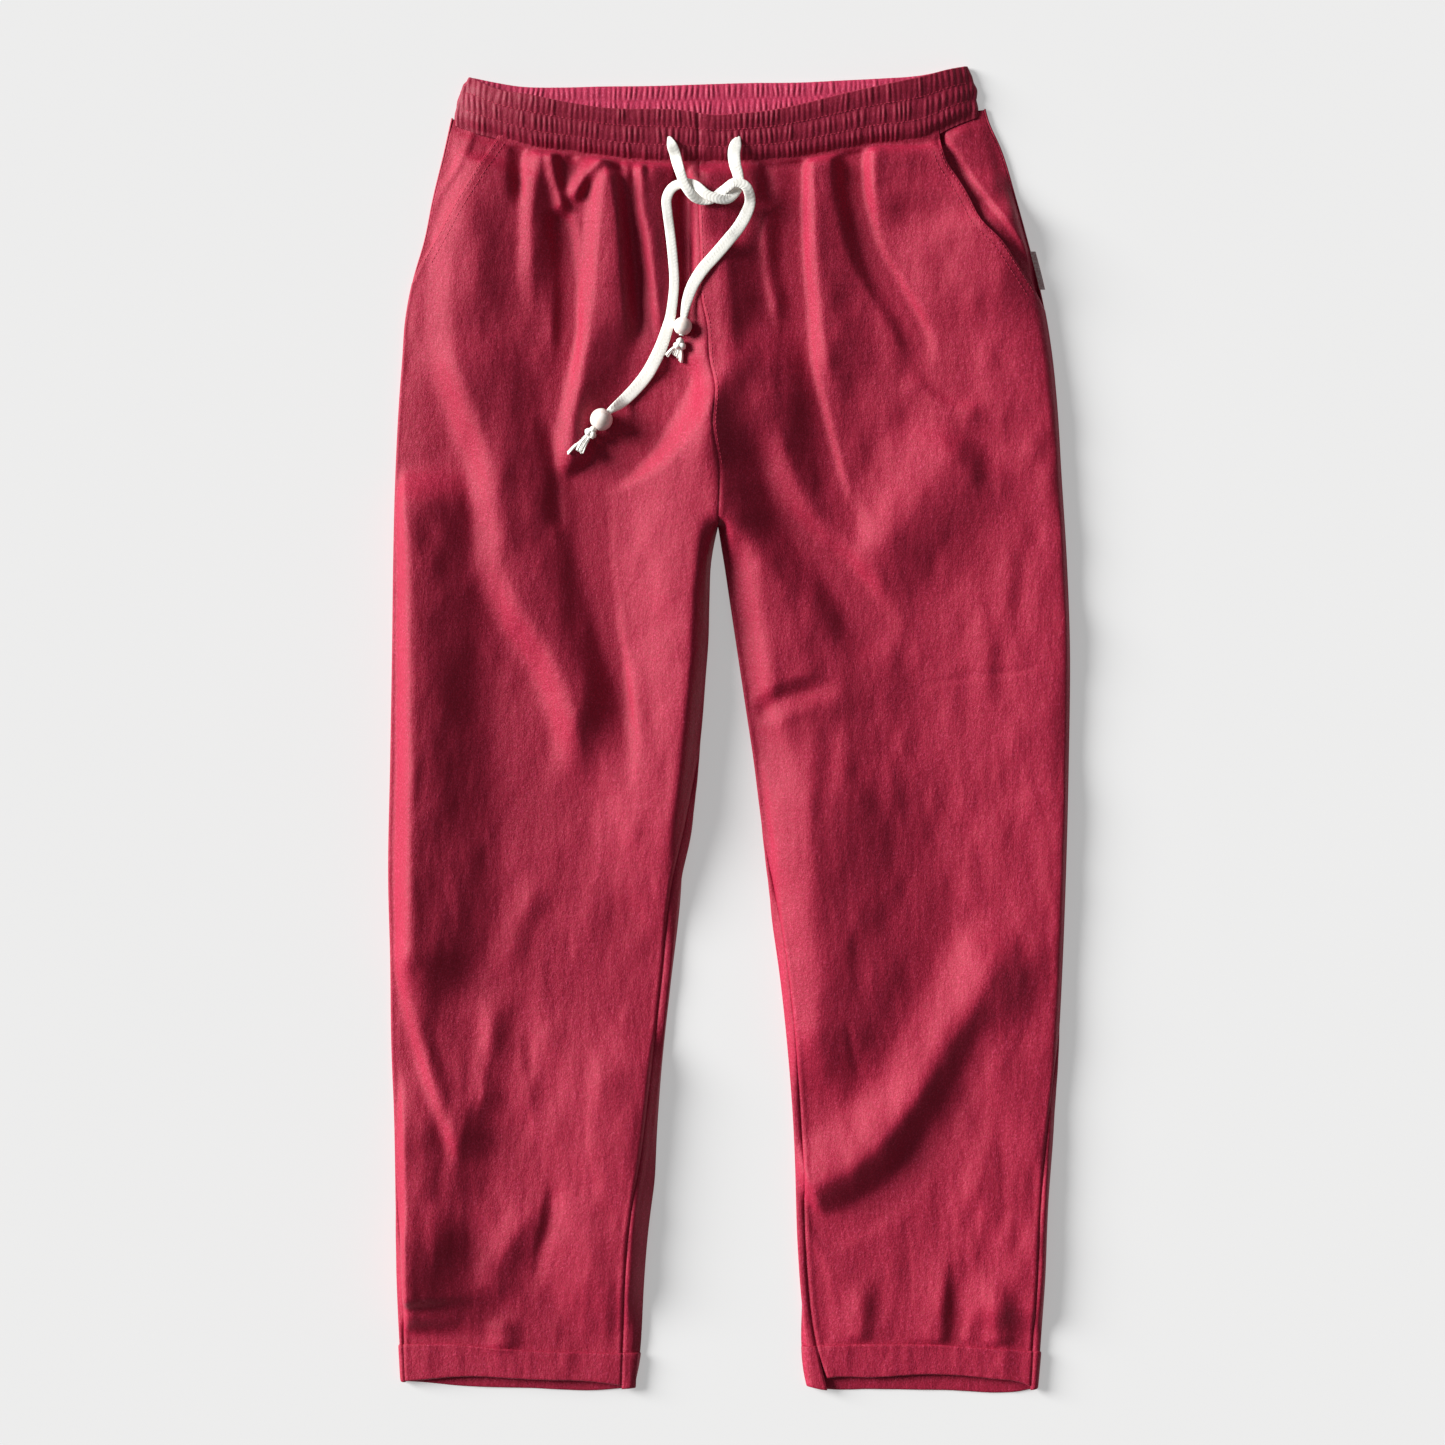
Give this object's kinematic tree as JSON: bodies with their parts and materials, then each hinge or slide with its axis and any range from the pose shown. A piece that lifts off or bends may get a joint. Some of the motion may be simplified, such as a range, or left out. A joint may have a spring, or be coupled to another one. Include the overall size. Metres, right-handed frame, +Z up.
{
  "type": "drawstring summer trousers",
  "caption": "Drawstring summer trousers with an elastic gathered waistband, slant pockets and turned-up cuffs, laid flat with the front up.",
  "frame": {"origin": "centre of the garment's plan box, on the surface it lies on", "axes": "+X to the right of the picture, which is the wearer's left; +Y toward the waist; +Z up, out of the front"},
  "size_m": [0.5118, 0.994, 0.0377],
  "materials": {
    "cloth": "crimson crinkled linen weave, matt with a soft sheen",
    "cord": "flat braided ivory cord, matt",
    "bead": "pale smooth wood",
    "tab": "pale woven tab, blank"
  },
  "bodies": {
    "root": {"front_left": "cloth", "front_right": "cloth", "back_left": "cloth", "back_right": "cloth", "waistband_front": "cloth", "waistband_back": "cloth", "pocket_facing_left": "cloth", "pocket_facing_right": "cloth", "cuff_front_left": "cloth", "cuff_front_right": "cloth", "cuff_back_left": "cloth", "cuff_back_right": "cloth", "side_tab": "tab", "drawcord_left": "cord", "drawcord_right": "cord", "bead_left": "bead", "bead_right": "bead", "cord_end_left": "cord", "cord_end_right": "cord"}
  },
  "joints": []
}
